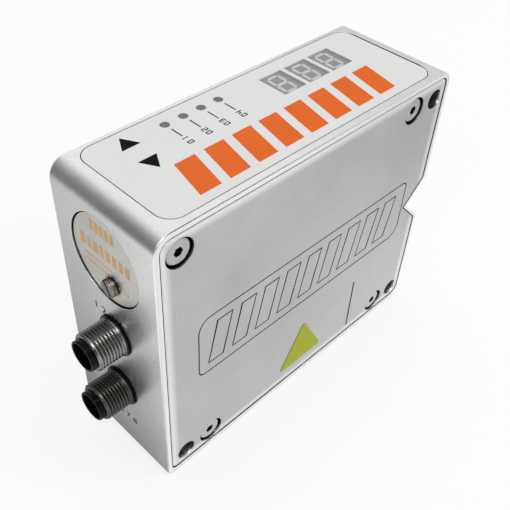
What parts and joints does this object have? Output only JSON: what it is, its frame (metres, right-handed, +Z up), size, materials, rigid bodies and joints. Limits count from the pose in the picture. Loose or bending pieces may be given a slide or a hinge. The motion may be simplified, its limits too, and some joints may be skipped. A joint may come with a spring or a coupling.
{
  "type": "lacquer detector",
  "caption": "Optical detector in a metal block housing with a notched sensing nose, screwed side cover, foil display top and round threaded connectors at the back end.",
  "frame": {"origin": "centre of the flat bottom face of the lower housing block", "axes": "+X from the connector face to the notched nose, +Z up to the display foil, the screwed side cover faces -Y"},
  "size_m": [0.13, 0.0414, 0.098],
  "materials": {
    "bead_blasted_aluminium": "bead-blasted, clear anodised",
    "satin_grey_aluminium": "satin grey, fine blasted",
    "disc_aluminium": "fine matte, clear anodised",
    "screw_steel": "stainless, turned",
    "dark_screw_steel": "nickel-plated, slotted",
    "foil_light_grey": "fine satin foil",
    "orange_ink": "printed ink",
    "black_ink": "printed ink",
    "display_grey": "moulded, grey face",
    "segment_resin": "cloudy light-filled resin",
    "led_resin": "tinted resin, unlit",
    "black_rubber": "smooth",
    "black_plastic": "moulded",
    "board_green": "solder-masked laminate",
    "capacitor_can": "sleeved can",
    "switch_blue": "moulded",
    "nickel_brass": "nickel-plated",
    "gold_pin": "gold-plated",
    "barrel_brass": "turned",
    "black_aluminium": "black anodised",
    "window_glass": "red filter glass",
    "lens_glass": "clear",
    "sticker_yellow": "printed film"
  },
  "bodies": {
    "root": {"housing": "bead_blasted_aluminium", "side_cover": "satin_grey_aluminium", "cover_gasket": "black_rubber", "cover_screws": "screw_steel", "top_foil": "foil_light_grey", "foil_orange_print": "orange_ink", "foil_black_print": "black_ink", "display_blocks": "display_grey", "display_segments": "segment_resin", "indicator_leds": "led_resin", "key_switches": "black_plastic", "display_board": "board_green", "display_board_screws": "screw_steel", "link_header": "black_plastic", "main_board": "board_green", "main_board_screws": "screw_steel", "processor": "black_plastic", "capacitors": "capacitor_can", "service_cover": "disc_aluminium", "service_seal": "black_rubber", "service_screw": "dark_screw_steel", "service_switch": "switch_blue", "power_shell": "nickel_brass", "power_insert": "black_plastic", "power_pins": "gold_pin", "data_shell": "nickel_brass", "data_insert": "black_plastic", "data_pins": "gold_pin", "connector_seals": "black_rubber", "emitter_window": "window_glass", "laser_lens": "lens_glass", "laser_barrel": "barrel_brass", "laser_diode": "gold_pin", "laser_ring": "black_aluminium", "laser_board": "board_green", "receiver_window": "window_glass", "receiver_lens": "lens_glass", "receiver_tube": "black_aluminium", "receiver_ring": "black_aluminium", "detector_board": "board_green", "photodiode": "gold_pin", "triangle_sticker": "sticker_yellow"}
  },
  "joints": []
}
